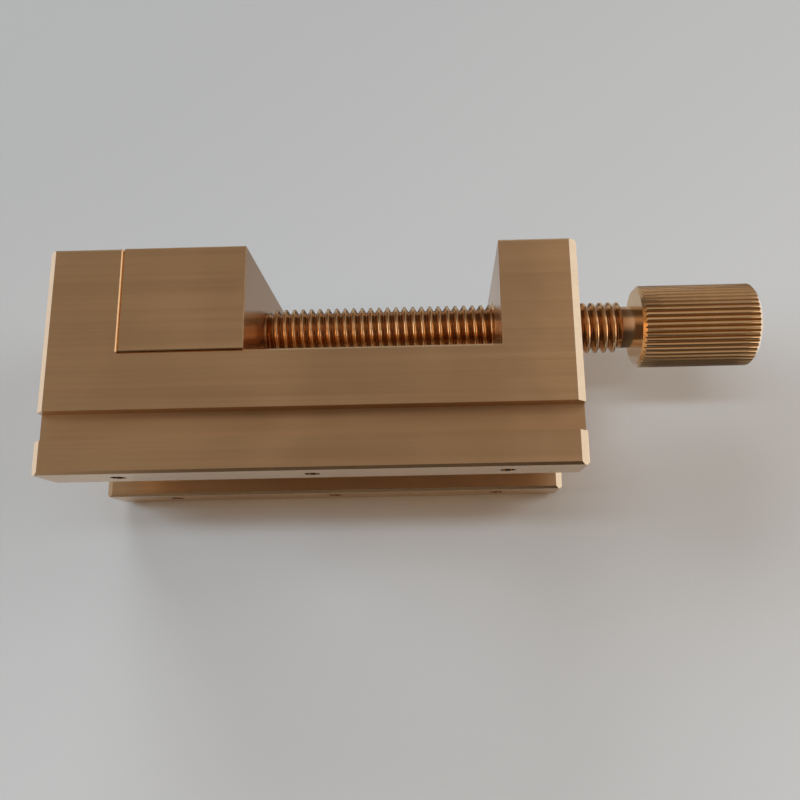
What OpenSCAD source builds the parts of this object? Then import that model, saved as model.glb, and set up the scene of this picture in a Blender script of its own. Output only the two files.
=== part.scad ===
// Small brass vise with a guided moving jaw, a captive lead screw and a knurled knob.
// X runs along the screw towards the knob and Z is up.
// The origin is the middle of the body's underside, and the jaws are drawn closed.

/* [Body] */
// Length of the body along the screw
body_l = 56; // [50:0.5:70]
// Width of the body and of both jaws
body_w = 25; // [23:0.5:32]
// Height of the bed above the underside
bed_h = 12.6; // [11:0.1:16]
// Height of the jaws above the bed
jaw_h = 11.4; // [10:0.1:16]
// Length of the fixed jaw
fixed_jaw_l = 8.1; // [6:0.1:12]
// Length of the block that carries the screw
screw_block_l = 8.3; // [6:0.1:12]
// Chamfer on the upright edges at both ends
end_chamfer = 0.9; // [0.3:0.1:1.5]
// Chamfer on the edges of the underside
base_chamfer = 0.3; // [0.1:0.05:0.6]
// Edge break on the fixed jaw, the bed, the tops and the turned ends
edge_break = 0.2; // [0.1:0.05:0.4]

/* [Side grooves] */
// Height of the lip below each clamping groove
groove_lip_h = 3.5; // [2.5:0.1:4.5]
// Height of each clamping groove
groove_h = 3; // [2:0.1:4]
// Depth of each clamping groove
groove_depth = 1.9; // [1:0.1:2.5]

/* [Underside] */
// Width of the channel between the rails
channel_w = 13; // [12:0.1:15]
// Depth of the channel
channel_depth = 5; // [4.5:0.1:6.5]
// Chamfer on the upright edges where the channel opens at both ends
channel_chamfer = 0.8; // [0.2:0.1:1.2]
// Tapping diameter of the fixing holes in the rails
fixing_hole_d = 1.6; // [1:0.1:2.2]
// Depth of the fixing holes
fixing_hole_depth = 3; // [2:0.1:4]
// Distance between neighbouring fixing holes in a rail
fixing_hole_pitch = 20; // [15:0.5:22]
// Fixing holes in each rail
fixing_holes = 3; // [1:1:3]

/* [Moving jaw] */
// Length of the moving jaw
moving_jaw_l = 13; // [12:0.1:16]
// Edge break on the moving jaw's block and on the screw block's face towards it
jaw_edge_break = 0.1; // [0.05:0.05:0.4]
// Width of the guide tongue under the jaw
tongue_w = 7; // [6.8:0.1:7.5]
// How far the tongue stops short of the jaw's two ends
tongue_inset = 0.5; // [0.4:0.1:1]
// Thickness of the keeper plate
keeper_t = 2.5; // [2:0.1:3]
// Gap between the keeper plate and each wall of the channel
keeper_side_gap = 0.5; // [0.3:0.1:1]
// Chamfer on the upright corners of the keeper plate
keeper_chamfer = 0.5; // [0.2:0.1:1]
// Distance between the two keeper screws
keeper_screw_pitch = 7; // [6.5:0.1:7.5]
// Thread diameter of the keeper screws
keeper_screw_d = 2; // [1.6:0.1:2]
// Head diameter of the keeper screws
keeper_head_d = 3.8; // [3:0.1:4]
// Length of keeper screw that reaches into the tongue
keeper_screw_grip = 3.5; // [2.5:0.1:5]
// Hexagon across its flats in the keeper screws' heads
keeper_hex_af = 1.3; // [0.9:0.1:1.5]
// Depth of the hexagon
keeper_hex_depth = 0.8; // [0.5:0.1:1]

/* [Lead screw] */
// Outside diameter of the screw's thread
screw_d = 6; // [5.9:0.1:6.5]
// Height of the screw's axis above the bed
screw_rise = 5.5; // [5:0.1:6]
// Chamfer at the knob's end of the thread
thread_chamfer = 0.4; // [0.2:0.05:0.5]
// Chamfer at the mouths of the screw's hole in the block
bore_chamfer = 0.4; // [0.2:0.1:0.8]
// Length of thread that stands out of the screw block when the jaws are closed
thread_overhang = 6.6; // [4:0.1:12]
// Diameter of the plain neck between thread and knob
neck_d = 4.9; // [4.4:0.1:5.1]
// Length of the neck
neck_l = 1.8; // [1:0.1:4]
// Diameter of the journal that turns in the moving jaw
journal_d = 5; // [4.5:0.1:5.2]
// Length of the collar that the journal's groove leaves at the tip
journal_collar_l = 1; // [0.8:0.1:2]
// Root diameter of the groove turned in the journal
journal_groove_d = 2.8; // [2.6:0.1:3]
// Diameter of the dowel pins that run in the groove
pin_d = 1.5; // [1.2:0.1:1.6]
// How far the dowel pins reach above the screw's axis
pin_rise = 2.9; // [2:0.1:4]
// Diameter of the spigot pressed into the knob
spigot_d = 4; // [3:0.1:4.2]
// Length of the spigot
spigot_l = 9; // [6:0.1:11]

/* [Knob] */
// Diameter over the knurl
knob_d = 9.6; // [8:0.1:14]
// Length of the knob
knob_l = 13.4; // [12:0.1:18]
// Chamfer at both ends of the knob
knob_chamfer = 0.4; // [0.2:0.05:1]
// Straight flutes round the knob
knob_flutes = 48; // [36:1:60]
// Depth of the flutes
flute_depth = 0.2; // [0.1:0.05:0.4]
// Share of each flute's pitch that the ridge's flat top takes
ridge_share = 0.35; // [0.2:0.05:0.6]

/* [Fits] */
// Gap between the closed jaws
closed_gap = 0.05; // [0.02:0.01:0.1]
// Sliding clearance under the jaw, over the keeper and on each side of the tongue
slide_clearance = 0.05; // [0.02:0.01:0.1]
// Radial running clearance of the screw in the block, of its journal and of the pins
running_clearance = 0.05; // [0.02:0.01:0.1]
// End play of the screw in the jaw
end_play = 0.1; // [0.05:0.05:0.2]
// Space left between the jaw and the screw block, and at the ends of the slot, at full opening
stop_gap = 0.4; // [0.3:0.1:0.5]

/* [Hidden] */
$fn = 96;
// Overshoot of every cut past the face that it opens
over = 1;

body_h = bed_h + jaw_h;
end_x = body_l / 2;
side_y = body_w / 2;
fixed_face_x = -end_x + fixed_jaw_l;
block_face_x = end_x - screw_block_l;
rail_y = (side_y + channel_w / 2) / 2;

jaw_front_x = fixed_face_x + closed_gap;
jaw_back_x = jaw_front_x + moving_jaw_l;
jaw_mid_x = (jaw_front_x + jaw_back_x) / 2;
jaw_travel = block_face_x - jaw_back_x - stop_gap;
jaw_bottom_z = bed_h + slide_clearance;
tongue_l = moving_jaw_l - 2 * tongue_inset;
tongue_bottom_z = channel_depth - slide_clearance;
slot_w = tongue_w + 2 * slide_clearance;
slot_x0 = jaw_front_x + tongue_inset - stop_gap;
slot_l = tongue_l + jaw_travel + 2 * stop_gap;

screw_z = bed_h + screw_rise;
thread_x0 = jaw_back_x + end_play;
thread_x1 = end_x + thread_overhang;
knob_x = thread_x1 + neck_l;
journal_groove_w = pin_d + 2 * end_play;
journal_tip_x = jaw_mid_x - journal_groove_w / 2 - journal_collar_l;
journal_hole_x = journal_tip_x - end_play;
pin_y = journal_groove_d / 2 + running_clearance + pin_d / 2;
pin_top_z = screw_z + pin_rise;
keeper_bottom_z = tongue_bottom_z - keeper_t;
keeper_head_h = (keeper_head_d - keeper_screw_d) / 2;

brass = [0.55, 0.42, 0.29];
turned_brass = [0.60, 0.42, 0.24];
steel = [0.62, 0.63, 0.65];

// A right-hand outline followed by its mirror image about the upright axis
function mirrored(half) =
    concat(half, [for (i = [len(half) - 1 : -1 : 0]) [-half[i][0], half[i][1]]]);

// A rectangle with its four corners cut, given by its half sizes
function cut_rectangle(half_x, half_y, cut) = mirrored([
    [half_x - cut, -half_y], [half_x, -half_y + cut], [half_x, half_y - cut], [half_x - cut, half_y]
]);

// Carries an outline drawn in Y and Z along X, from x0
module along_x(x0, length) {
    translate([x0, 0, 0])
        rotate([90, 0, 90])
            linear_extrude(length)
                children();
}

// Carries an outline drawn in X and Z across the width
module across_y(width) {
    translate([0, width / 2, 0])
        rotate([90, 0, 0])
            linear_extrude(width)
                children();
}

// Turns a profile of radius and length about the screw's axis, with its length along X
module turned(x0) {
    translate([x0, 0, screw_z])
        rotate([0, 90, 0])
            rotate_extrude()
                children();
}

// A slot or tongue outline with round ends, from x0
module round_ended(x0, length, width) {
    translate([x0 + width / 2, -width / 2])
        square([length - width, width]);
    for (x = [x0 + width / 2, x0 + length - width / 2])
        translate([x, 0])
            circle(d = width);
}

// Section of the body across the screw: channel, rails, clamping grooves and jaw tops
module body_section() {
    polygon(mirrored([
        [channel_w / 2, channel_depth],
        [channel_w / 2, base_chamfer],
        [channel_w / 2 + base_chamfer, 0],
        [side_y - base_chamfer, 0],
        [side_y, base_chamfer],
        [side_y, groove_lip_h],
        [side_y - groove_depth, groove_lip_h],
        [side_y - groove_depth, groove_lip_h + groove_h],
        [side_y, groove_lip_h + groove_h],
        [side_y, body_h - edge_break],
        [side_y - edge_break, body_h]
    ]));
}

// Outline of the body from the side: fixed jaw, bed and screw block
module body_side() {
    polygon([
        [-end_x + base_chamfer, 0],
        [-end_x, base_chamfer],
        [-end_x, body_h - edge_break],
        [-end_x + edge_break, body_h],
        [fixed_face_x - edge_break, body_h],
        [fixed_face_x, body_h - edge_break],
        [fixed_face_x, bed_h],
        [block_face_x, bed_h],
        [block_face_x, body_h - jaw_edge_break],
        [block_face_x + jaw_edge_break, body_h],
        [end_x - edge_break, body_h],
        [end_x, body_h - edge_break],
        [end_x, base_chamfer],
        [end_x - base_chamfer, 0]
    ]);
}

// A square bar along Z that breaks the edge at its centre line
module edge_cut(length, cut) {
    linear_extrude(length)
        rotate(45)
            square(cut * sqrt(2), center = true);
}

// Edge breaks of the body between the jaws: the two jaw faces' upright edges and the bed's long edges
module inner_edges() {
    for (side = [-1, 1]) {
        translate([fixed_face_x, side * side_y, bed_h])
            edge_cut(jaw_h + over, edge_break);
        translate([block_face_x, side * side_y, bed_h])
            edge_cut(jaw_h + over, jaw_edge_break);
        translate([fixed_face_x, side * side_y, bed_h])
            rotate([0, 90, 0])
                edge_cut(block_face_x - fixed_face_x, edge_break);
    }
}

// The screw's hole through the block, with a chamfer at each mouth
module screw_hole() {
    hole_r = screw_d / 2 + running_clearance;
    turned(block_face_x)
        polygon([
            [0, -over],
            [hole_r + bore_chamfer, -over],
            [hole_r + bore_chamfer, 0],
            [hole_r, bore_chamfer],
            [hole_r, screw_block_l - bore_chamfer],
            [hole_r + bore_chamfer, screw_block_l],
            [hole_r + bore_chamfer, screw_block_l + over],
            [0, screw_block_l + over]
        ]);
}

// Chamfers on the upright edges where the channel opens at one end of the body
module channel_mouth() {
    linear_extrude(channel_depth)
        polygon(mirrored([
            [channel_w / 2, -channel_chamfer],
            [channel_w / 2 + channel_chamfer, 0],
            [channel_w / 2 + channel_chamfer, over]
        ]));
}

module vise_body() {
    color(brass)
        difference() {
            intersection() {
                along_x(-end_x, body_l) body_section();
                across_y(body_w) body_side();
                linear_extrude(body_h) polygon(cut_rectangle(end_x, side_y, end_chamfer));
            }
            for (turn = [-90, 90])
                rotate(turn)
                    translate([0, end_x, 0])
                        channel_mouth();
            linear_extrude(bed_h + over)
                round_ended(slot_x0, slot_l, slot_w);
            for (i = [0 : fixing_holes - 1], side = [-1, 1])
                translate([(i - (fixing_holes - 1) / 2) * fixing_hole_pitch, side * rail_y, -over])
                    cylinder(d = fixing_hole_d, h = fixing_hole_depth + over);
            inner_edges();
            screw_hole();
        }
}

// The jaw's block, with every edge broken
module jaw_block() {
    height = body_h - jaw_bottom_z;
    middle_z = jaw_bottom_z + height / 2;
    intersection() {
        along_x(jaw_front_x, moving_jaw_l)
            translate([0, middle_z])
                polygon(cut_rectangle(side_y, height / 2, jaw_edge_break));
        across_y(body_w)
            translate([jaw_mid_x, middle_z])
                polygon(cut_rectangle(moving_jaw_l / 2, height / 2, jaw_edge_break));
        translate([jaw_mid_x, 0, jaw_bottom_z])
            linear_extrude(height)
                polygon(cut_rectangle(moving_jaw_l / 2, side_y, jaw_edge_break));
    }
}

module moving_jaw() {
    color(brass)
        difference() {
            union() {
                jaw_block();
                translate([0, 0, tongue_bottom_z])
                    linear_extrude(screw_z - tongue_bottom_z)
                        round_ended(jaw_front_x + tongue_inset, tongue_l, tongue_w);
            }
            translate([journal_hole_x, 0, screw_z])
                rotate([0, 90, 0])
                    cylinder(d = journal_d + 2 * running_clearance, h = jaw_back_x - journal_hole_x + over);
            for (side = [-1, 1])
                translate([jaw_mid_x, side * pin_y, tongue_bottom_z - over])
                    cylinder(d = pin_d, h = pin_top_z - tongue_bottom_z + over);
            for (side = [-1, 1])
                translate([jaw_mid_x + side * keeper_screw_pitch / 2, 0, tongue_bottom_z - over])
                    cylinder(d = keeper_screw_d, h = keeper_screw_grip + over);
        }
}

// Countersunk head and shank of a keeper screw, starting at the head's flat face
module countersunk(length) {
    cylinder(d1 = keeper_head_d, d2 = keeper_screw_d, h = keeper_head_h);
    cylinder(d = keeper_screw_d, h = length);
}

module keeper_plate() {
    color(brass)
        difference() {
            translate([jaw_mid_x, 0, keeper_bottom_z])
                linear_extrude(keeper_t)
                    polygon(cut_rectangle(tongue_l / 2, channel_w / 2 - keeper_side_gap, keeper_chamfer));
            for (side = [-1, 1])
                translate([jaw_mid_x + side * keeper_screw_pitch / 2, 0, keeper_bottom_z])
                    countersunk(keeper_t + over);
        }
}

module keeper_screw(side) {
    color(steel)
        translate([jaw_mid_x + side * keeper_screw_pitch / 2, 0, keeper_bottom_z])
            difference() {
                countersunk(keeper_t + keeper_screw_grip);
                translate([0, 0, -over])
                    cylinder(d = keeper_hex_af / cos(30), h = keeper_hex_depth + over, $fn = 6);
            }
}

module keeper_screw_inner() {
    keeper_screw(-1);
}

module keeper_screw_outer() {
    keeper_screw(1);
}

module screw_pin(side) {
    color(steel)
        translate([jaw_mid_x, side * pin_y, tongue_bottom_z])
            cylinder(d = pin_d, h = pin_top_z - tongue_bottom_z);
}

module screw_pin_front() {
    screw_pin(-1);
}

module screw_pin_back() {
    screw_pin(1);
}

module lead_screw() {
    groove_b = journal_collar_l + journal_groove_w;
    thread_a = thread_x0 - journal_tip_x;
    thread_b = thread_x1 - journal_tip_x;
    neck_b = knob_x - journal_tip_x;
    color(turned_brass)
        turned(journal_tip_x)
            polygon([
                [0, 0],
                [journal_d / 2 - edge_break, 0],
                [journal_d / 2, edge_break],
                [journal_d / 2, journal_collar_l],
                [journal_groove_d / 2, journal_collar_l],
                [journal_groove_d / 2, groove_b],
                [journal_d / 2, groove_b],
                [journal_d / 2, thread_a],
                [screw_d / 2 - edge_break, thread_a],
                [screw_d / 2, thread_a + edge_break],
                [screw_d / 2, thread_b - thread_chamfer],
                [screw_d / 2 - thread_chamfer, thread_b],
                [neck_d / 2, thread_b],
                [neck_d / 2, neck_b],
                [spigot_d / 2, neck_b],
                [spigot_d / 2, neck_b + spigot_l],
                [0, neck_b + spigot_l]
            ]);
}

// Cross-section of the knurl: flat ridges with a vee between each pair
module knurl_section() {
    pitch = 360 / knob_flutes;
    half_ridge = ridge_share * pitch / 2;
    root_r = knob_d / 2 - flute_depth;
    polygon([
        for (i = [0 : knob_flutes - 1])
            each [
                knob_d / 2 * [cos(i * pitch - half_ridge), sin(i * pitch - half_ridge)],
                knob_d / 2 * [cos(i * pitch + half_ridge), sin(i * pitch + half_ridge)],
                root_r * [cos((i + 0.5) * pitch), sin((i + 0.5) * pitch)]
            ]
    ]);
}

// Envelope of the knob that chamfers the ends of the ridges
module knob_envelope() {
    rotate_extrude()
        polygon([
            [0, 0],
            [knob_d / 2 - knob_chamfer, 0],
            [knob_d / 2 + over, knob_chamfer + over],
            [knob_d / 2 + over, knob_l - knob_chamfer - over],
            [knob_d / 2 - knob_chamfer, knob_l],
            [0, knob_l]
        ]);
}

module knurled_knob() {
    color(turned_brass)
        translate([knob_x, 0, screw_z])
            rotate([0, 90, 0])
                difference() {
                    intersection() {
                        linear_extrude(knob_l) knurl_section();
                        knob_envelope();
                    }
                    translate([0, 0, -over])
                        cylinder(d = spigot_d, h = spigot_l + over);
                }
}

vise_body();
moving_jaw();
keeper_plate();
keeper_screw_inner();
keeper_screw_outer();
screw_pin_front();
screw_pin_back();
lead_screw();
knurled_knob();
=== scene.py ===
"""Looks of a small brass vise: ground and turned brass, cut thread, knurl, stage and camera."""

import logging
from dataclasses import dataclass
from enum import Enum

import bpy
import numpy as np
from mathutils import Matrix, Vector


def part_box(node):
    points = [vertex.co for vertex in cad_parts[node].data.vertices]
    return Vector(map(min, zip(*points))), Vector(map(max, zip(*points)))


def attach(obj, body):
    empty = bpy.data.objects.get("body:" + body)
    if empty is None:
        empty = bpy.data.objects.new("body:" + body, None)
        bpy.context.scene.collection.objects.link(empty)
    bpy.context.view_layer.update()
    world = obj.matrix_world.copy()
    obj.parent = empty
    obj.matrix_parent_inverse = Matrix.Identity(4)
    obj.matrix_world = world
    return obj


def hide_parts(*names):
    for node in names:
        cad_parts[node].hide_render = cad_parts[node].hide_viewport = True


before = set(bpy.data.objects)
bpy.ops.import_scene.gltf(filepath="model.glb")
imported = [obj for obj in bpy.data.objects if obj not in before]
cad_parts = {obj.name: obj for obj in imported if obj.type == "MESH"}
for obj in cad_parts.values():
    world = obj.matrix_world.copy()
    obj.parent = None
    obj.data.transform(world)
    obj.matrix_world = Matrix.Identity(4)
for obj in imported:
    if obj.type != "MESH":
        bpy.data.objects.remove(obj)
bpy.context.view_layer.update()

LOG = logging.getLogger("vise")
MM = 0.001
Rgb = tuple[float, float, float]
Socket = bpy.types.NodeSocket


class Body(Enum):
    """The bodies that new pieces ride on."""

    SCREW = "screw"


class Slot(Enum):
    """The record's material slots."""

    MILLED = "brass_milled"
    TURNED = "brass_turned"
    STEEL = "steel"


class Lay(Enum):
    """Which way the tool marks run on a surface."""

    GROUND = "along the screw, and upright on the end faces"
    TURNED = "in rings about the screw"


def new_object(name: str, data: bpy.types.ID) -> bpy.types.Object:
    """Makes an object of a mesh, a lamp or a camera and puts it into the scene.

    Args:
        name: The object's name.
        data: What it shows.
    Returns:
        The object, at the origin.
    """
    item = bpy.data.objects.new(name, data)
    bpy.context.scene.collection.objects.link(item)
    return item


class NodeTree:
    """A short way to add and join the nodes of one shader tree.

    A face looks along an axis if its normal has more than FACES_ALONG of it. MIX_SOCKETS has the numbers of
    a Mix node's three inputs and its output, by what is mixed.
    """

    FACES_ALONG = 0.8
    MIX_SOCKETS = {"RGBA": (0, 6, 7, 2), "VECTOR": (0, 4, 5, 1)}

    def __init__(self, tree: bpy.types.NodeTree) -> None:
        """Keeps the tree that the nodes go into."""
        self.tree = tree

    @classmethod
    def fresh(cls, owner: bpy.types.Material | bpy.types.World) -> "NodeTree":
        """Turns on the nodes of a material or a world and empties its tree."""
        owner.use_nodes = True
        owner.node_tree.nodes.clear()
        return cls(owner.node_tree)

    def add(self, kind: str, settings: dict | None = None, **inputs: object) -> bpy.types.Node:
        """Adds one node.

        Args:
            kind: The node's type without its "ShaderNode" prefix.
            settings: Properties of the node itself.
            inputs: Input sockets by name, underscores for spaces, each a value or a socket to join from.
        Returns:
            The new node.
        """
        node = self.tree.nodes.new("ShaderNode" + kind)
        for name, value in (settings or {}).items():
            setattr(node, name, value)
        for name, value in inputs.items():
            self.feed(node.inputs[name.replace("_", " ")], value)
        return node

    def feed(self, socket: Socket, value: object) -> None:
        """Joins a socket to another, or sets its value."""
        if isinstance(value, Socket):
            self.tree.links.new(value, socket)
        else:
            socket.default_value = value

    def math(self, operation: str, *values: object) -> Socket:
        """Adds a Math node.

        Args:
            operation: Blender's name for the operation.
            values: One to three numbers or sockets.
        Returns:
            The node's output.
        """
        node = self.add("Math", {"operation": operation})
        for socket, value in zip(node.inputs, values):
            self.feed(socket, value)
        return node.outputs[0]

    def vector_math(self, operation: str, first: object, second: object) -> bpy.types.Node:
        """Adds a Vector Math node.

        Args:
            operation: Blender's name for the operation.
            first: A vector or a socket.
            second: A vector or a socket.
        Returns:
            The node.
        """
        node = self.add("VectorMath", {"operation": operation})
        for socket, value in zip(node.inputs, (first, second)):
            self.feed(socket, value)
        return node

    def scaled(self, vector: tuple[Socket, ...], scales: tuple[Socket, ...]) -> Socket:
        """Stretches a vector by one number along each axis."""
        x, y, z = (self.math("MULTIPLY", part, scale) for part, scale in zip(vector, scales))
        return self.add("CombineXYZ", X=x, Y=y, Z=z).outputs[0]

    def blend(self, share: object, first: object, second: object, kind: str = "RGBA") -> Socket:
        """Mixes two colours or two vectors.

        Args:
            share: How much of the second one shows, from 0 to 1.
            first: A colour, a vector or a socket.
            second: A colour, a vector or a socket.
            kind: Blender's name for what is mixed.
        Returns:
            The mixed colour or vector.
        """
        node = self.add("Mix", {"data_type": kind})
        *takes, gives = self.MIX_SOCKETS[kind]
        for index, value in zip(takes, (share, first, second)):
            self.feed(node.inputs[index], value)
        return node.outputs[gives]

    def span(
        self, value: object, low: float, high: float, to_low: float = 0.0, to_high: float = 1.0
    ) -> Socket:
        """Carries a value from one span to another, eased and clamped at both ends.

        Args:
            value: The number or socket.
            low: Start of the first span.
            high: End of the first span.
            to_low: What the start becomes.
            to_high: What the end becomes.
        Returns:
            The carried value.
        """
        node = self.add("MapRange", {"interpolation_type": "SMOOTHSTEP"})
        for socket, number in zip(node.inputs, (value, low, high, to_low, to_high)):
            self.feed(socket, number)
        return node.outputs[0]

    def place(self) -> tuple[Socket, ...]:
        """Adds the Object coordinates, as X, Y and Z."""
        return tuple(self.add("SeparateXYZ", Vector=self.add("TexCoord").outputs["Object"]).outputs)

    def looks_along(self, normal: Socket, axis: int) -> Socket:
        """Finds the faces that look along X, Y or Z.

        Args:
            normal: The faces' normal.
            axis: The axis, from 0 to 2.
        Returns:
            1 on those faces and 0 elsewhere.
        """
        facing = self.add("SeparateXYZ", Vector=normal).outputs[axis]
        return self.math("GREATER_THAN", self.math("ABSOLUTE", facing), self.FACES_ALONG)


def new_group(
    name: str, inputs: dict[str, float], outputs: tuple[str, ...]
) -> tuple[NodeTree, dict[str, Socket], dict[str, Socket]]:
    """Makes an empty shader node group of numbers.

    Args:
        name: The group's name.
        inputs: Input names and their default values.
        outputs: Output names.
    Returns:
        The group's tree, its input sockets by name and the sockets that take its outputs.
    """
    group = bpy.data.node_groups.new(name, "ShaderNodeTree")
    for label, value in inputs.items():
        socket = group.interface.new_socket(label, in_out="INPUT", socket_type="NodeSocketFloat")
        socket.default_value = value
    for label in outputs:
        group.interface.new_socket(label, in_out="OUTPUT", socket_type="NodeSocketFloat")
    enter = group.nodes.new("NodeGroupInput")
    leave = group.nodes.new("NodeGroupOutput")
    return NodeTree(group), {s.name: s for s in enter.outputs}, {s.name: s for s in leave.inputs}


def tool_mark_group(lay: Lay) -> bpy.types.NodeTree:
    """Makes the group of fine marks that a wheel or a lathe leaves.

    The marks are noise stretched along the tool's path: close together across it and long along it. A ground
    face takes them along X, or along Z where it faces X. A turned face takes them as rings, so only X counts.

    Args:
        lay: Which way the marks run.
    Returns:
        The group: inputs Across and Along in marks a metre, outputs Fine and Broad from 0 to 1.
    """
    name = "tool_marks_" + lay.name.lower()
    tree, enter, leave = new_group(name, {"Across": 6000.0, "Along": 120.0}, ("Fine", "Broad"))
    across, along, place = enter["Across"], enter["Along"], tree.place()
    if lay is Lay.TURNED:
        marks = tree.scaled(place, (across, along, along))
    else:
        is_end = tree.looks_along(tree.add("NewGeometry").outputs["True Normal"], 0)
        side = tree.scaled(place, (along, across, across))
        end = tree.scaled(place, (across, across, along))
        marks = tree.blend(is_end, side, end, "VECTOR")
    fine = tree.add("TexNoise", Vector=marks, Scale=1.0, Detail=2.0, Roughness=0.6)
    broad = tree.add("TexNoise", Vector=marks, Scale=0.16, Detail=3.0, Roughness=0.6)
    tree.feed(leave["Fine"], fine.outputs[0])
    tree.feed(leave["Broad"], broad.outputs[0])
    return tree.tree


def handling_group() -> bpy.types.NodeTree:
    """Makes the group of soft, cloudy patches that handling leaves on brass.

    Returns:
        The group, with the input Size in metres and the output Cloud from 0 to 1.
    """
    tree, enter, leave = new_group("handling", {"Size": 0.012}, ("Cloud",))
    place = tree.add("TexCoord").outputs["Object"]
    noise = tree.add("TexNoise", Vector=place, Detail=3.0, Roughness=0.55, Distortion=0.4)
    tree.feed(noise.inputs["Scale"], tree.math("DIVIDE", 1.0, enter["Size"]))
    tree.feed(leave["Cloud"], tree.span(noise.outputs[0], 0.32, 0.68))
    return tree.tree


@dataclass(frozen=True)
class Groups:
    """The shared node groups, built once."""

    ground: bpy.types.NodeTree
    turned: bpy.types.NodeTree
    handling: bpy.types.NodeTree

    @classmethod
    def build(cls) -> "Groups":
        """Builds all the groups."""
        return cls(tool_mark_group(Lay.GROUND), tool_mark_group(Lay.TURNED), handling_group())


@dataclass(frozen=True)
class HoleRows:
    """The two rows of fixing holes in the base, whose walls take a painted shade (metres).

    Fields: half the distance between the holes of a row, the rows' distance from the middle, a radius just
    past the holes' own, the heights between which the walls lie and the colour of the painted shade.
    """

    half_pitch: float = 0.01
    row_y: float = 0.0095
    reach: float = 0.0009
    skin: float = 0.00002
    bottom: float = 0.0032
    # The colour of the painted shade on the holes' walls.
    wall_shade: Rgb = (0.22, 0.10, 0.05)

    def mask(self, tree: NodeTree) -> Socket:
        """Finds the holes' walls.

        A point is in a hole if it lies within reach of the nearest hole's axis, above the underside and below
        the holes' ends.

        Args:
            tree: The material's tree.
        Returns:
            1 in a hole and 0 elsewhere.
        """
        x, y, z = tree.place()
        along = tree.math("PINGPONG", x, self.half_pitch)
        across = tree.math("SUBTRACT", tree.math("ABSOLUTE", y), self.row_y)
        squares = tree.math("MULTIPLY_ADD", along, along, tree.math("MULTIPLY", across, across))
        is_near = tree.math("LESS_THAN", tree.math("SQRT", squares), self.reach)
        middle, half = (self.skin + self.bottom) / 2.0, (self.bottom - self.skin) / 2.0
        return tree.math("MULTIPLY", is_near, tree.math("COMPARE", z, middle, half))


@dataclass(frozen=True)
class MetalFinish:
    """A metal surface with its tool marks.

    Fields: the slot, the clean and the dulled colour, the lay of the marks and their number a metre across
    and along, the roughness of the bright and of the dull patches, the marks' depth in metres, how far
    reflections are drawn out across the marks, from 0 to 1, the colour of a painted shade in the hollows of a
    thread or a knurl and on the turns beside the jaw, and the holes whose walls take a painted shade.

    Constants: the broad marks' share of all marks, the clouds' share of the wear, the span of the marks that
    shows as wear, the factor on the roughness of faces without coarse marks, and how deep in a hollow the
    painted shade starts and how much of its colour shows at the bottom.
    """

    name: str
    slot: Slot
    clean: Rgb
    dulled: Rgb
    lay: Lay
    across: float
    along: float
    bright: float
    dull: float
    depth: float
    drawn: float = 0.0
    hollow_shade: Rgb | None = None
    holes: HoleRows | None = None

    BROAD_SHARE = 0.6
    CLOUD_SHARE = 0.35
    STREAK_SPAN = (0.3, 0.7)
    SMOOTHER = 0.45
    SHADE_FROM = 0.15
    SHADE_SHARE = 0.85

    def brushing(self, tree: NodeTree) -> tuple[Socket, Socket]:
        """Finds the way across the marks of a ground face, and which faces have coarse marks.

        The way is the face's normal crossed with the marks' own way, which is X, or Z on a face that looks
        along X. The long sides, which look along Y, have the coarse marks.

        Args:
            tree: The material's tree.
        Returns:
            The direction, and 1 on a long side or 0 elsewhere.
        """
        normal = tree.add("NewGeometry").outputs["True Normal"]
        is_end, is_side = tree.looks_along(normal, 0), tree.looks_along(normal, 1)
        marks = tree.add("CombineXYZ", X=tree.math("SUBTRACT", 1.0, is_end), Z=is_end).outputs[0]
        return tree.vector_math("CROSS_PRODUCT", normal, marks).outputs[0], is_side

    def material(self, groups: Groups) -> bpy.types.Material:
        """Makes the material.

        The marks and the cloudy patches both shift the colour a little towards the dulled one and raise the
        roughness, and the marks also tilt the surface.

        Args:
            groups: The shared node groups.
        Returns:
            The new material.
        """
        material = bpy.data.materials.new(self.name)
        tree = NodeTree.fresh(material)
        lay = groups.turned if self.lay is Lay.TURNED else groups.ground
        marks = tree.add("Group", {"node_tree": lay}, Across=self.across, Along=self.along).outputs
        cloud = tree.add("Group", {"node_tree": groups.handling}).outputs["Cloud"]
        fine = tree.math("MULTIPLY", marks["Fine"], 1.0 - self.BROAD_SHARE)
        streak = tree.math("MULTIPLY_ADD", marks["Broad"], self.BROAD_SHARE, fine)
        streaky = tree.span(streak, *self.STREAK_SPAN, 0.0, 1.0 - self.CLOUD_SHARE)
        worn = tree.math("MULTIPLY_ADD", cloud, self.CLOUD_SHARE, streaky)
        bump = tree.add("Bump", Strength=1.0, Distance=self.depth, Height=streak).outputs[0]
        shader = tree.add("BsdfPrincipled", Metallic=1.0, Anisotropic=self.drawn, Normal=bump)
        rough = tree.span(worn, 0.0, 1.0, self.bright, self.dull)
        if self.drawn:
            across, is_side = self.brushing(tree)
            tree.feed(shader.inputs["Tangent"], across)
            rough = tree.math("MULTIPLY", rough, tree.span(is_side, 0.0, 1.0, self.SMOOTHER, 1.0))
        colour = tree.blend(worn, (*self.clean, 1.0), (*self.dulled, 1.0))
        # Painted shade: the hollows of a thread or a knurl, and the turns beside the jaw, are darkened
        # towards a dark brass colour.
        if self.hollow_shade:
            hollow = tree.add("Attribute", {"attribute_name": "hollow"}).outputs["Fac"]
            shaded = tree.span(hollow, self.SHADE_FROM, 1.0, 0.0, self.SHADE_SHARE)
            colour = tree.blend(shaded, colour, (*self.hollow_shade, 1.0))
        # Painted shade: the walls of the fixing holes are darkened.
        if self.holes:
            colour = tree.blend(self.holes.mask(tree), colour, (*self.holes.wall_shade, 1.0))
        tree.feed(shader.inputs["Base Color"], colour)
        tree.feed(shader.inputs["Roughness"], rough)
        tree.add("OutputMaterial", Surface=shader.outputs[0])
        return material


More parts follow.
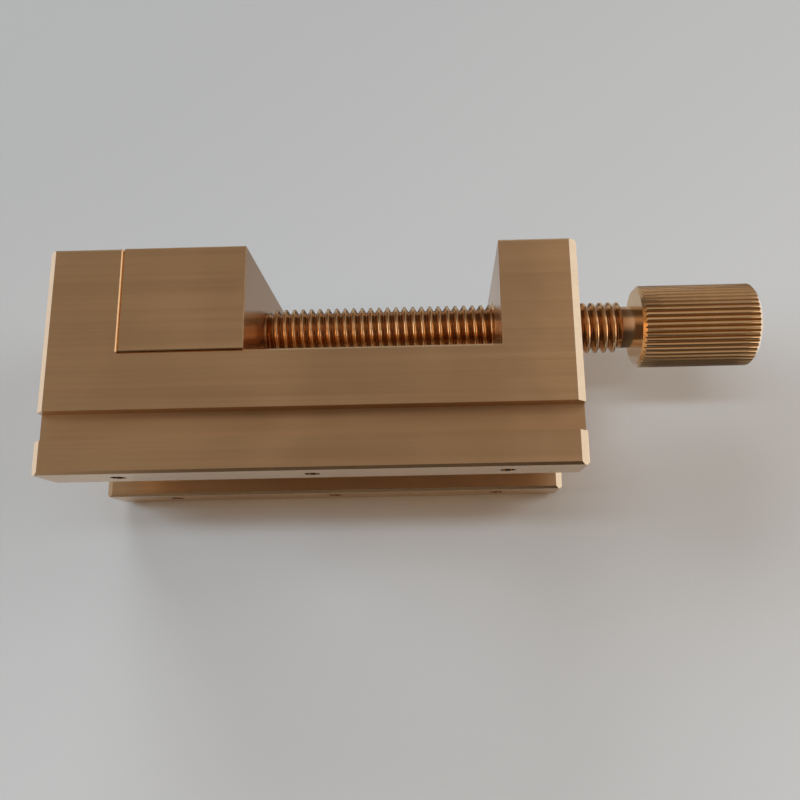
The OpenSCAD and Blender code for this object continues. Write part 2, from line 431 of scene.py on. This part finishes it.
GROUND_BRASS = MetalFinish(
    "ground_brass", Slot.MILLED, (0.75, 0.49, 0.262), (0.66, 0.425, 0.22), Lay.GROUND,
    across=3000.0, along=30.0, bright=0.36, dull=0.44, depth=1.0e-6, drawn=0.85, holes=HoleRows(),
)
THREAD_BRASS = MetalFinish(
    "thread_brass", Slot.TURNED, (0.80, 0.50, 0.26), (0.68, 0.41, 0.20), Lay.TURNED,
    across=6000.0, along=60.0, bright=0.14, dull=0.22, depth=0.3e-6, hollow_shade=(0.42, 0.20, 0.08),
)
KNURL_BRASS = MetalFinish(
    "knurl_brass", Slot.TURNED, (0.72, 0.465, 0.235), (0.63, 0.39, 0.185), Lay.TURNED,
    across=900.0, along=60.0, bright=0.16, dull=0.24, depth=0.3e-6, hollow_shade=(0.40, 0.22, 0.09),
)
PLAIN_STEEL = MetalFinish(
    "plain_steel", Slot.STEEL, (0.56, 0.56, 0.57), (0.42, 0.42, 0.43), Lay.GROUND,
    across=6000.0, along=200.0, bright=0.25, dull=0.38, depth=0.4e-6,
)


class Surface:
    """Meshes worked out on grids."""

    WELD_DIGITS = 8

    @classmethod
    def mesh(cls, name: str, grids: list[np.ndarray], sharp_deg: float) -> bpy.types.Object:
        """Joins grids of points into one closed mesh.

        Each square of a grid becomes two triangles. Points that meet are welded and triangles that have
        shrunk to a line are dropped. All triangles are turned over if the enclosed volume comes out negative.

        Args:
            name: The object's name.
            grids: Arrays of rows by columns by 4: the place in metres, and how deep in a hollow, from 0 to 1.
            sharp_deg: Edges that turn by more than this stay sharp.
        Returns:
            The new object, at the origin.
        """
        points, triangles, start = [], [], 0
        for grid in grids:
            rows, columns = grid.shape[:2]
            index = start + np.arange(rows * columns).reshape(rows, columns)
            a, b, c, d = index[:-1, :-1], index[:-1, 1:], index[1:, 1:], index[1:, :-1]
            triangles += [np.stack([a, b, c], -1).reshape(-1, 3), np.stack([a, c, d], -1).reshape(-1, 3)]
            points.append(grid.reshape(-1, 4))
            start += rows * columns
        co, faces = np.concatenate(points), np.concatenate(triangles)
        rounded = np.round(co[:, :3], cls.WELD_DIGITS)
        _, first, weld = np.unique(rounded, axis=0, return_index=True, return_inverse=True)
        (co, hollow), faces = np.split(co[first], [3], axis=1), weld.reshape(-1)[faces]
        p, q, r = faces.T
        faces = faces[(p != q) & (q != r) & (r != p)]
        p, q, r = (co[corner] for corner in faces.T)
        volume = np.einsum("ij,ij->i", p, np.cross(q, r)).sum()
        faces = faces[:, ::-1] if volume < 0 else faces
        mesh = bpy.data.meshes.new(name)
        mesh.vertices.add(len(co))
        mesh.vertices.foreach_set("co", co.astype(np.float32).ravel())
        mesh.loops.add(faces.size)
        mesh.loops.foreach_set("vertex_index", np.ascontiguousarray(faces, dtype=np.int32).ravel())
        mesh.polygons.add(len(faces))
        mesh.polygons.foreach_set("loop_start", np.arange(0, faces.size, 3, dtype=np.int32))
        mesh.polygons.foreach_set("use_smooth", np.ones(len(faces), dtype=bool))
        mesh.update(calc_edges=True)
        depth = mesh.attributes.new("hollow", "FLOAT", "POINT")
        depth.data.foreach_set("value", hollow.astype(np.float32).ravel())
        mesh.validate()
        mesh.set_sharp_from_angle(angle=np.radians(sharp_deg))
        return new_object(name, mesh)

    @staticmethod
    def about_screw(
        x: np.ndarray, radius: np.ndarray, angle: np.ndarray, axis_z: float, hollow: np.ndarray
    ) -> np.ndarray:
        """Places points about the screw's axis.

        A point is (x, radius cos angle, axis height + radius sin angle).

        Args:
            x: Distances along the screw in millimetres.
            radius: Distances from the axis in millimetres.
            angle: Angles about +X in radians.
            axis_z: Height of the axis in millimetres.
            hollow: How deep in a hollow each point lies, from 0 to 1.
        Returns:
            The points in metres, each with its hollow.
        """
        x, radius, angle, hollow = np.broadcast_arrays(x, radius, angle, hollow)
        place = MM * np.stack([x, radius * np.cos(angle), axis_z + radius * np.sin(angle)], -1)
        return np.concatenate([place, hollow[..., None]], -1)


@dataclass
class LeadScrew:
    """The screw that moves the jaw: a grooved journal, a right-hand metric thread, a neck and a spigot.

    Lengths are in millimetres. The fields from crest_half to root_ease shape one pitch of the thread, and
    run_out and the cones are slopes of its ends. Turns within jaw_shade_l of the jaw take a painted shade, by
    up to jaw_shade.
    """

    overhang: float = 6.6
    end_play: float = 0.1
    journal_r: float = 2.5
    tip_chamfer: float = 0.2
    groove_r: float = 1.4
    groove_w: float = 1.7
    root_r: float = 2.42
    neck_r: float = 2.45
    neck_ring: float = 0.15
    spigot_r: float = 2.0
    pitch: float = 1.0
    crest_lead: float = -0.28
    crest_half: float = 0.14
    crest_rows: int = 9
    crest_drop: float = 0.045
    flank_end: float = 0.43
    flank_deg: float = 30.0
    root_half: float = 0.035
    root_ease: float = 0.01
    run_out: float = 0.6
    start_cone: float = 1.2
    end_cone: float = 2.0
    # Painted shade on the first turns beside the jaw: how far it reaches and how strong it is at the jaw.
    jaw_shade_l: float = 2.4
    jaw_shade: float = 0.95
    spare_turns: int = 2
    columns: int = 72
    sharp_deg: float = 28.0

    def __post_init__(self) -> None:
        """Takes the screw's places from the solids."""
        low, high = (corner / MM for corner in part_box("lead_screw"))
        jaw_low, jaw_high = (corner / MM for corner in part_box("moving_jaw"))
        self.tip_x, self.spigot_end_x = low.x, high.x
        self.axis_z, self.crest_r = (low.z + high.z) / 2.0, (high.z - low.z) / 2.0
        middle = (jaw_low.x + jaw_high.x) / 2.0
        self.groove_x = (middle - self.groove_w / 2.0, middle + self.groove_w / 2.0)
        self.thread_x = (jaw_high.x + self.end_play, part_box("vise_body")[1].x / MM + self.overhang)
        self.neck_end_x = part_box("knurled_knob")[0].x / MM

    def angles(self) -> np.ndarray:
        """The angles of the columns, with the first repeated at the end."""
        return np.linspace(0.0, 2.0 * np.pi, self.columns + 1)

    def thread_profile(self) -> np.ndarray:
        """One pitch of the thread, as distance along and radius.

        A crest rounded by a cosine, flanks at 30 degrees to the radius and a rounded root.

        Returns:
            Rows of (distance from the crest's middle, radius), without the next crest's first point.
        """
        crest = np.linspace(-self.crest_half, self.crest_half, self.crest_rows)
        top = self.crest_r - self.crest_drop * (1.0 - np.cos(crest * np.pi / (2.0 * self.crest_half)))
        foot = top[-1] - (self.flank_end - crest[-1]) / np.tan(np.radians(self.flank_deg))
        root = np.array([
            (self.flank_end, foot), (0.5 - self.root_half, self.root_r + self.root_ease), (0.5, self.root_r),
            (0.5 + self.root_half, self.root_r + self.root_ease), (1.0 - self.flank_end, foot),
        ])
        return np.concatenate([np.stack([crest, top], -1), root])

    def thread(self) -> np.ndarray:
        """The threaded length as a sheared grid.

        Row lines follow the helix: x is the profile's distance plus the pitch times the angle over a full
        turn. The radius is the profile's, held between a rising floor and a falling cone at both ends, and x
        is held to the thread's length, so that both ends close on plain circles. The first turns, beside the
        jaw, also take a painted shade through their hollow value.

        Returns:
            The grid of points in metres.
        """
        profile, (start, end) = self.thread_profile(), self.thread_x
        turns = np.arange(-self.spare_turns, np.ceil(end - start) + self.spare_turns)
        steps = (turns[:, None] + profile[None, :, 0]) * self.pitch
        along = (start + self.crest_lead + steps).reshape(-1, 1)
        radius = np.tile(profile[:, 1], len(turns)).reshape(-1, 1)
        angle = self.angles()[None, :]
        x = np.clip(along + self.pitch * angle / (2.0 * np.pi), start, end)
        from_start, from_end = x - start, end - x
        start_floor = self.journal_r - self.run_out * from_start
        end_floor = self.neck_r - self.run_out * from_end
        start_cone = self.journal_r + self.start_cone * from_start
        end_cone = self.neck_r + self.end_cone * from_end
        radius = np.maximum(radius, np.maximum(start_floor, end_floor))
        radius = np.minimum(radius, np.minimum(start_cone, end_cone))
        # How deep each point lies in the thread, which sets the painted shade in the hollows.
        hollow = (self.crest_r - radius) / (self.crest_r - self.root_r)
        # Painted shade: the turns beside the jaw are darkened like deep hollows.
        hollow = np.maximum(hollow, self.jaw_shade * np.clip(1.0 - from_start / self.jaw_shade_l, 0.0, 1.0))
        return Surface.about_screw(x, radius, angle, self.axis_z, hollow)

    def turned(self, outline: list[tuple[float, float]]) -> np.ndarray:
        """A plain turned length: an outline of x and radius carried round the axis.

        Args:
            outline: Pairs of x and radius in millimetres.
        Returns:
            The grid of points in metres.
        """
        line, clean = np.array(outline), np.zeros(1)
        return Surface.about_screw(line[:, :1], line[:, 1:], self.angles()[None, :], self.axis_z, clean)

    def build(self) -> bpy.types.Object:
        """Builds the screw's one mesh.

        Returns:
            The piece, at rest.
        """
        groove_low, groove_high = self.groove_x
        journal = [
            (self.tip_x, 0.0),
            (self.tip_x, self.journal_r - self.tip_chamfer),
            (self.tip_x + self.tip_chamfer, self.journal_r),
            (groove_low, self.journal_r),
            (groove_low, self.groove_r),
            (groove_high, self.groove_r),
            (groove_high, self.journal_r),
            (self.thread_x[0], self.journal_r),
        ]
        neck = [
            (self.thread_x[1], self.neck_r),
            (self.neck_end_x - self.neck_ring, self.neck_r),
            (self.neck_end_x, self.neck_r),
            (self.neck_end_x, self.spigot_r),
            (self.spigot_end_x, self.spigot_r),
            (self.spigot_end_x, 0.0),
        ]
        grids = [self.turned(journal), self.thread(), self.turned(neck)]
        return Surface.mesh("lead_screw_thread", grids, self.sharp_deg)

    def dress(self, piece: bpy.types.Object, material: bpy.types.Material) -> None:
        """Gives the piece its finish, and lets it stand for the plain screw."""
        piece.data.materials.append(material)
        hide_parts("lead_screw")
        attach(piece, Body.SCREW.value)


@dataclass
class KnurledKnob:
    """The knob on the screw's end: straight ridges, chamfered at both ends, on a blind bore (millimetres).

    Half a ridge and the flute beside it are cut at the points of half_ridge, shares of the ridges' spacing.
    """

    chamfer: float = 0.4
    chamfer_rows: int = 9
    length_rows: int = 7
    flutes: int = 48
    flute_depth: float = 0.2
    flute_power: float = 1.2
    ridge_share: float = 0.35
    half_ridge: tuple[float, ...] = (0.0, 0.1, 0.18, 0.225, 0.26, 0.32, 0.4, 0.46, 0.5)
    bore_r: float = 2.0
    face_ring: float = 0.05
    sharp_deg: float = 40.0

    def __post_init__(self) -> None:
        """Takes the knob's place and size from the solids."""
        low, high = (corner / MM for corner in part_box("knurled_knob"))
        self.start_x, self.length = low.x, high.x - low.x
        self.axis_z, self.ridge_r = (low.z + high.z) / 2.0, (high.z - low.z) / 2.0
        self.bore_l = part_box("lead_screw")[1].x / MM - low.x

    def knurl(self) -> tuple[np.ndarray, np.ndarray]:
        """Goes round the knob.

        Each ridge has a plain top. From its edge to the middle of the flute beside it, the fall is the share
        of the way, eased at the edge.

        Returns:
            The angles in radians, and the falls from 0 on a ridge to 1 in a flute.
        """
        way = np.array(self.half_ridge)
        back = way[-2:0:-1]
        turn = np.concatenate([way, 1.0 - back])
        angle = 2.0 * np.pi / self.flutes * (np.arange(self.flutes)[:, None] + turn[None, :]).ravel()
        share = (2.0 * np.concatenate([way, back]) - self.ridge_share) / (1.0 - self.ridge_share)
        fall = np.clip(share, 0.0, 1.0) ** self.flute_power
        return np.append(angle, 2.0 * np.pi), np.append(np.tile(fall, self.flutes), 0.0)

    def build(self) -> bpy.types.Object:
        """Builds the knob's one mesh.

        The radius is the ridges' less the flutes' depth times the fall, held under a 45 degree cone at each
        end.

        Returns:
            The piece, at rest.
        """
        angle, fall = self.knurl()
        edge = self.ridge_r - self.chamfer
        steps = np.linspace(0.0, self.chamfer, self.chamfer_rows)
        middle = np.linspace(self.chamfer, self.length - self.chamfer, self.length_rows)[1:-1]
        bore_x = [self.bore_l, self.bore_l, 0.0, 0.0]
        bore_limit = [0.0, self.bore_r, self.bore_r, edge - self.face_ring]
        x = np.concatenate([bore_x, steps, middle, self.length - steps[::-1], [self.length]])
        plain = np.full(len(middle), self.ridge_r)
        limit = np.concatenate([bore_limit, edge + steps, plain, edge + steps[::-1], [0.0]])[:, None]
        radius = np.minimum(limit, self.ridge_r - self.flute_depth * fall[None, :])
        # How deep each point lies in a flute, which sets the painted shade in the knurl's hollows.
        hollow = np.where(limit < self.ridge_r - self.flute_depth, 0.0, fall[None, :])
        grid = Surface.about_screw(self.start_x + x[:, None], radius, angle[None, :], self.axis_z, hollow)
        return Surface.mesh("knob_knurl", [grid], self.sharp_deg)

    def dress(self, piece: bpy.types.Object, material: bpy.types.Material) -> None:
        """Gives the piece its finish, and lets it stand for the solid knob."""
        piece.data.materials.append(material)
        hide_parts("knurled_knob")
        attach(piece, Body.SCREW.value)


@dataclass
class BlockWork:
    """The milled pieces and the small steel ones, which keep their solids' shapes."""

    milled: tuple[str, ...] = ("vise_body", "moving_jaw", "keeper_plate")
    steel: tuple[str, ...] = ("keeper_screw_inner", "keeper_screw_outer", "screw_pin_front", "screw_pin_back")

    def dress(self, groups: Groups) -> None:
        """Gives every carried-over solid its finish.

        Args:
            groups: The shared node groups.
        """
        for names, finish in ((self.milled, GROUND_BRASS), (self.steel, PLAIN_STEEL)):
            material = finish.material(groups)
            for name in names:
                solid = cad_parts[name]
                solid.data.materials.clear()
                solid.data.materials.append(material)
                LOG.info("dressed %s in %s, slot %s", name, material.name, finish.slot.value)


class Way(Enum):
    """What the edges of a zone are measured along, for a direction of unit length."""

    X = "to the right"
    Y = "away from the viewer"
    Z = "up"
    ASIDE = "to either side"
    RISE = "up or down"
    GLINT = "towards the bright spot"


@dataclass(frozen=True)
class Edge:
    """An eased edge of a zone: its mask rises from 0 at low to 1 at high, or falls from 1 to 0."""

    along: Way
    low: float
    high: float
    falls: bool = False

    def mask(self, tree: NodeTree, ways: dict[Way, Socket]) -> Socket:
        """Adds the edge's mask to the world's tree."""
        ends = (1.0, 0.0) if self.falls else (0.0, 1.0)
        return tree.span(ways[self.along], self.low, self.high, *ends)


def over(along: Way, low: float, high: float) -> Edge:
    """An edge with its zone on the high side."""
    return Edge(along, low, high)


def under(along: Way, low: float, high: float) -> Edge:
    """An edge with its zone on the low side."""
    return Edge(along, low, high, falls=True)


@dataclass(frozen=True)
class Zone:
    """A part of the surroundings that the metal mirrors, laid over what came before it.

    Fields: its name and colour, the edges whose masks are multiplied to bound it, other edges that bound a
    second part of it, and the zones laid over its colour.
    """

    name: str
    colour: Rgb
    edges: tuple[Edge, ...]
    also: tuple[Edge, ...] = ()
    inner: tuple["Zone", ...] = ()

    @staticmethod
    def product(edges: tuple[Edge, ...], tree: NodeTree, ways: dict[Way, Socket]) -> Socket:
        """Multiplies the masks of some edges."""
        mask = edges[0].mask(tree, ways)
        for edge in edges[1:]:
            mask = tree.math("MULTIPLY", mask, edge.mask(tree, ways))
        return mask

    def paint(self, tree: NodeTree, ways: dict[Way, Socket], below: object) -> Socket:
        """Lays the zone over a colour.

        Args:
            tree: The world's tree.
            ways: The measures of the direction.
            below: The colour or socket that the zone covers.
        Returns:
            The colour with the zone on it.
        """
        colour = (*self.colour, 1.0)
        for zone in self.inner:
            colour = zone.paint(tree, ways, colour)
        mask = self.product(self.edges, tree, ways)
        if self.also:
            mask = tree.math("MAXIMUM", mask, self.product(self.also, tree, ways))
        painted = tree.blend(mask, below, colour)
        painted.node.label = self.name
        return painted


DIM: Rgb = (0.08, 0.07, 0.065)
UP_BEHIND = (over(Way.Y, 0.1, 0.4), over(Way.Z, 0.36, 0.6))
ZONES = (
    Zone("upper room", (0.61, 0.543, 0.505), (over(Way.Z, -0.05, 0.35),)),
    Zone("dark viewer", (0.09, 0.075, 0.07), (under(Way.Z, -0.22, -0.02), under(Way.Y, 0.2, 0.55))),
    Zone("right of the viewer", DIM, (over(Way.X, 0.12, 0.2),), inner=(
        Zone("level", (0.66, 0.57, 0.53), (under(Way.Z, 0.55, 0.98), over(Way.Z, -0.75, 0.02))),
    )),
    Zone("further right", DIM, (over(Way.X, 0.25, 0.31),), inner=(
        Zone("not low", (0.48, 0.42, 0.39), (over(Way.Z, -0.8, -0.35),)),
    )),
    Zone("corners", (0.45, 0.43, 0.42), (over(Way.ASIDE, 0.4, 0.6),), (under(Way.X, -0.6, -0.25),), inner=(
        Zone("upper corners", (0.24, 0.21, 0.20), (over(Way.Z, -0.3, -0.1),)),
    )),
    Zone("behind", (0.42, 0.44, 0.47), (over(Way.Y, -0.1, 0.5),), inner=(
        Zone("right behind", (0.28, 0.27, 0.28), (over(Way.X, 0.02, 0.2),)),
        Zone("low right behind", DIM, (over(Way.X, 0.1, 0.25), under(Way.Z, -0.3, 0.0))),
    )),
    Zone("daylight on the right", (1.10, 1.28, 1.62), (
        over(Way.X, 0.5, 0.75), under(Way.RISE, 0.45, 0.75), over(Way.Y, -0.12, 0.12),
    )),
    Zone("daylight on the left", (0.90, 0.96, 1.05), (
        under(Way.X, -0.75, -0.5), under(Way.RISE, 0.45, 0.75), over(Way.Y, 0.0, 0.35),
    )),
    Zone("bright spot", (1.3, 1.22, 1.2), (over(Way.GLINT, 0.955, 0.985),)),
    Zone("left window", (2.6, 2.35, 2.15), (
        under(Way.X, -0.78, -0.62), under(Way.Y, -0.3, -0.1), over(Way.Z, -0.8, -0.4), under(Way.Z, 0.3, 0.5),
    )),
    Zone("right window", (2.6, 2.2, 1.9), (
        over(Way.X, 0.62, 0.78), under(Way.Y, -0.3, -0.1), over(Way.Z, -0.7, -0.5), under(Way.Z, -0.02, 0.12),
    )),
    Zone("overhead", (0.12, 0.11, 0.105), (over(Way.Z, 0.4, 0.8),), UP_BEHIND, inner=(
        Zone("right overhead", (0.36, 0.31, 0.29), (over(Way.X, 0.22, 0.32),)),
        Zone("overhead behind", (0.10, 0.09, 0.085), UP_BEHIND),
    )),
)


@dataclass
class Stage:
    """The pale floor, the pale board behind the vise and the surroundings (metres).

    A card's colour changes over shade_span, along a line that leans by shade_lean: a painted shading, lighter
    low on the right and darker high on the left. Reflections see through the board up to clear_top times the
    body's height behind the vise, below the knob's axis from clear_right times the body's half length on, and
    from clear_ends times it on both sides.
    """

    board_y: float = 0.01256
    board_half: float = 0.2
    floor_z: float = -0.0003
    floor_half: float = 0.4
    # The board's two colours are the ends of a painted shading across it.
    board_low: Rgb = (0.84, 0.84, 0.835)
    board_high: Rgb = (0.60, 0.60, 0.595)
    floor_colour: Rgb = (0.88, 0.88, 0.875)
    shade_lean: float = -0.7
    shade_span: tuple[float, float] = (-0.1, 0.12)
    clear_top: float = 1.5
    clear_right: float = 1.18
    clear_ends: float = 2.0
    backdrop: float = 0.48
    fill: Rgb = (0.19, 0.10, 0.03)
    lower_room: Rgb = (0.265, 0.222, 0.208)
    glint: tuple[float, float, float] = (0.806, -0.504, 0.312)

    def clear_parts(self, tree: NodeTree, x: Socket, z: Socket) -> Socket:
        """Finds where reflections see through the board.

        Args:
            tree: The board's tree.
            x: The place along the board.
            z: The place up the board.
        Returns:
            1 for a ray that doesn't come from the camera, where the board is clear, and 0 elsewhere.
        """
        foot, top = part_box("vise_body")
        knob_low, knob_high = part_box("knurled_knob")
        aside = tree.math("ABSOLUTE", x)
        roof = self.clear_top * top.z
        in_height = tree.math("COMPARE", z, (foot.z + roof) / 2.0, (roof - foot.z) / 2.0)
        behind = tree.math("MULTIPLY", tree.math("LESS_THAN", aside, top.x), in_height)
        is_right = tree.math("GREATER_THAN", x, self.clear_right * top.x)
        is_low = tree.math("LESS_THAN", z, (knob_low.z + knob_high.z) / 2.0)
        past_ends = tree.math("GREATER_THAN", aside, self.clear_ends * top.x)
        clear = tree.math("MAXIMUM", behind, tree.math("MULTIPLY", is_right, is_low))
        mirrored = tree.math("SUBTRACT", 1.0, tree.add("LightPath").outputs["Is Camera Ray"])
        return tree.math("MULTIPLY", mirrored, tree.math("MAXIMUM", clear, past_ends))

    def card(
        self, name: str, corners: list[tuple[float, float, float]], low: Rgb, high: Rgb, cut: bool
    ) -> bpy.types.Object:
        """Makes one matt card that shows on its front side only.

        Args:
            name: The card's name.
            corners: Its corners, counter-clockwise seen from the front.
            low: Its colour low down on the right, the light end of a painted shading.
            high: Its colour high up on the left, the dark end of a painted shading.
            cut: Whether reflections see through the card behind the vise, below the knob and past the ends.
        Returns:
            The card.
        """
        mesh = bpy.data.meshes.new(name)
        mesh.from_pydata(corners, [], [tuple(range(len(corners)))])
        card = new_object(name, mesh)
        material = bpy.data.materials.new(name)
        tree = NodeTree.fresh(material)
        x, _, z = tree.place()
        # Painted shading: the colour goes from low to high along a leaning line, standing in for light
        # falling off across the card.
        slope = tree.math("MULTIPLY_ADD", x, self.shade_lean, z)
        colour = tree.blend(tree.span(slope, *self.shade_span), (*low, 1.0), (*high, 1.0))
        hidden = tree.add("NewGeometry").outputs["Backfacing"]
        if cut:
            hidden = tree.math("MAXIMUM", hidden, self.clear_parts(tree, x, z))
        matt = tree.add("BsdfDiffuse", Color=colour).outputs[0]
        clear = tree.add("BsdfTransparent").outputs[0]
        mix = tree.add("MixShader")
        for socket, value in zip(mix.inputs, (hidden, matt, clear)):
            tree.feed(socket, value)
        tree.add("OutputMaterial", Surface=mix.outputs[0])
        mesh.materials.append(material)
        card.visible_shadow = False
        card.visible_diffuse = False
        return card

    def build_cards(self) -> None:
        """Builds the floor under the vise and the board that its far side leans on."""
        y, z, w, b = self.board_y, self.floor_z, self.floor_half, self.board_half
        level = [(-w, -w, z), (w, -w, z), (w, w, z), (-w, w, z)]
        upright = [(-b, y, -b), (b, y, -b), (b, y, b), (-b, y, b)]
        floor = self.card("floor", level, self.floor_colour, self.floor_colour, False)
        floor.visible_glossy = False
        self.card("board", upright, self.board_low, self.board_high, True)

    def reflected(self, tree: NodeTree) -> Socket:
        """What the metal mirrors: the lower room with every zone laid over it in turn.

        Args:
            tree: The world's tree.
        Returns:
            The light by direction.
        """
        direction = tree.add("TexCoord").outputs["Generated"]
        x, y, z = tree.add("SeparateXYZ", Vector=direction).outputs
        ways = {
            Way.X: x,
            Way.Y: y,
            Way.Z: z,
            Way.ASIDE: tree.math("ABSOLUTE", x),
            Way.RISE: tree.math("ABSOLUTE", z),
            Way.GLINT: tree.vector_math("DOT_PRODUCT", direction, self.glint).outputs["Value"],
        }
        colour = (*self.lower_room, 1.0)
        for zone in ZONES:
            colour = zone.paint(tree, ways, colour)
        return colour

    def build_world(self) -> None:
        """Builds the surroundings: a fill for the cards, a room for the metal to mirror and a backdrop."""
        world = bpy.data.worlds.new("surroundings")
        bpy.context.scene.world = world
        tree = NodeTree.fresh(world)
        world.cycles.sampling_method = "NONE"
        ray = tree.add("LightPath").outputs
        light = tree.blend(ray["Is Glossy Ray"], (*self.fill, 1.0), self.reflected(tree))
        light = tree.blend(ray["Is Camera Ray"], light, (self.backdrop, self.backdrop, self.backdrop, 1.0))
        shine = tree.add("Background", Color=light, Strength=1.0)
        tree.add("OutputWorld", Surface=shine.outputs[0])


@dataclass(frozen=True)
class Lamp:
    """A soft lamp a metre from the vise, for the cards and their shadows.

    Fields: the way to it from the vise, its width and height in metres, its power in watts and its colour.
    """

    name: str
    toward: tuple[float, float, float]
    size: tuple[float, float]
    power: float
    colour: Rgb

    def build(self) -> None:
        """Builds the lamp, out of sight of the metal."""
        data = bpy.data.lights.new(self.name, "AREA")
        data.shape = "ELLIPSE"
        data.size, data.size_y = self.size
        data.energy, data.color = self.power, self.colour
        lamp = new_object(self.name, data)
        way = Vector(self.toward).normalized()
        lamp.matrix_world = Matrix.Translation(way) @ way.to_track_quat("Z", "Y").to_matrix().to_4x4()
        lamp.visible_glossy = False


LAMPS = (
    Lamp("left_lamp", (-0.9, -0.4, 0.2), (0.6, 0.6), 5.8, (0.655, 0.845, 1.0)),
    Lamp("right_lamp", (0.9, -0.4, 0.2), (0.6, 0.6), 3.1, (0.98, 1.0, 1.0)),
    Lamp("top_lamp", (-0.2, -0.35, 0.9), (0.6, 0.6), 4.15, (0.855, 0.94, 1.0)),
    Lamp("long_lamp", (-0.05, -1.0, 0.14), (1.2, 0.1), 2.35, (0.70, 0.872, 1.0)),
)


@dataclass(frozen=True)
class PhotoCamera:
    """The camera at the photograph's viewing angle (millimetres, and metres for the clip)."""

    place: tuple[float, float, float] = (12.9534, -90.1063, -11.7001)
    right: tuple[float, float, float] = (0.999624, 0.021299, -0.017255)
    ahead: tuple[float, float, float] = (-0.016883, 0.974313, 0.224563)
    lens: float = 35.7588
    sensor: float = 36.0
    shift: tuple[float, float] = (-0.03, 0.0075)
    clip: tuple[float, float] = (0.005, 20.0)

    def build(self) -> None:
        """Builds the camera and makes it the scene's own."""
        data = bpy.data.cameras.new("camera")
        data.sensor_width, data.lens = self.sensor, self.lens
        data.shift_x, data.shift_y = self.shift
        data.clip_start, data.clip_end = self.clip
        camera = new_object("camera", data)
        ahead = Vector(self.ahead).normalized()
        right = (Vector(self.right) - ahead * Vector(self.right).dot(ahead)).normalized()
        turn = Matrix((right, right.cross(ahead), -ahead)).transposed()
        camera.matrix_world = Matrix.Translation(Vector(self.place) * MM) @ turn.to_4x4()
        bpy.context.scene.camera = camera


def main() -> None:
    """Builds the pieces in order and reports each one."""
    logging.basicConfig(level=logging.INFO, format="%(name)s: %(message)s")
    bpy.context.scene.view_settings.view_transform = "Standard"
    groups = Groups.build()
    BlockWork().dress(groups)
    for maker, finish in ((LeadScrew(), THREAD_BRASS), (KnurledKnob(), KNURL_BRASS)):
        piece = maker.build()
        maker.dress(piece, finish.material(groups))
        LOG.info("built %s: %d triangles, slot %s", piece.name, len(piece.data.polygons), finish.slot.value)
    stage = Stage()
    stage.build_cards()
    stage.build_world()
    for lamp in LAMPS:
        lamp.build()
    PhotoCamera().build()


if __name__ == "__main__":
    main()
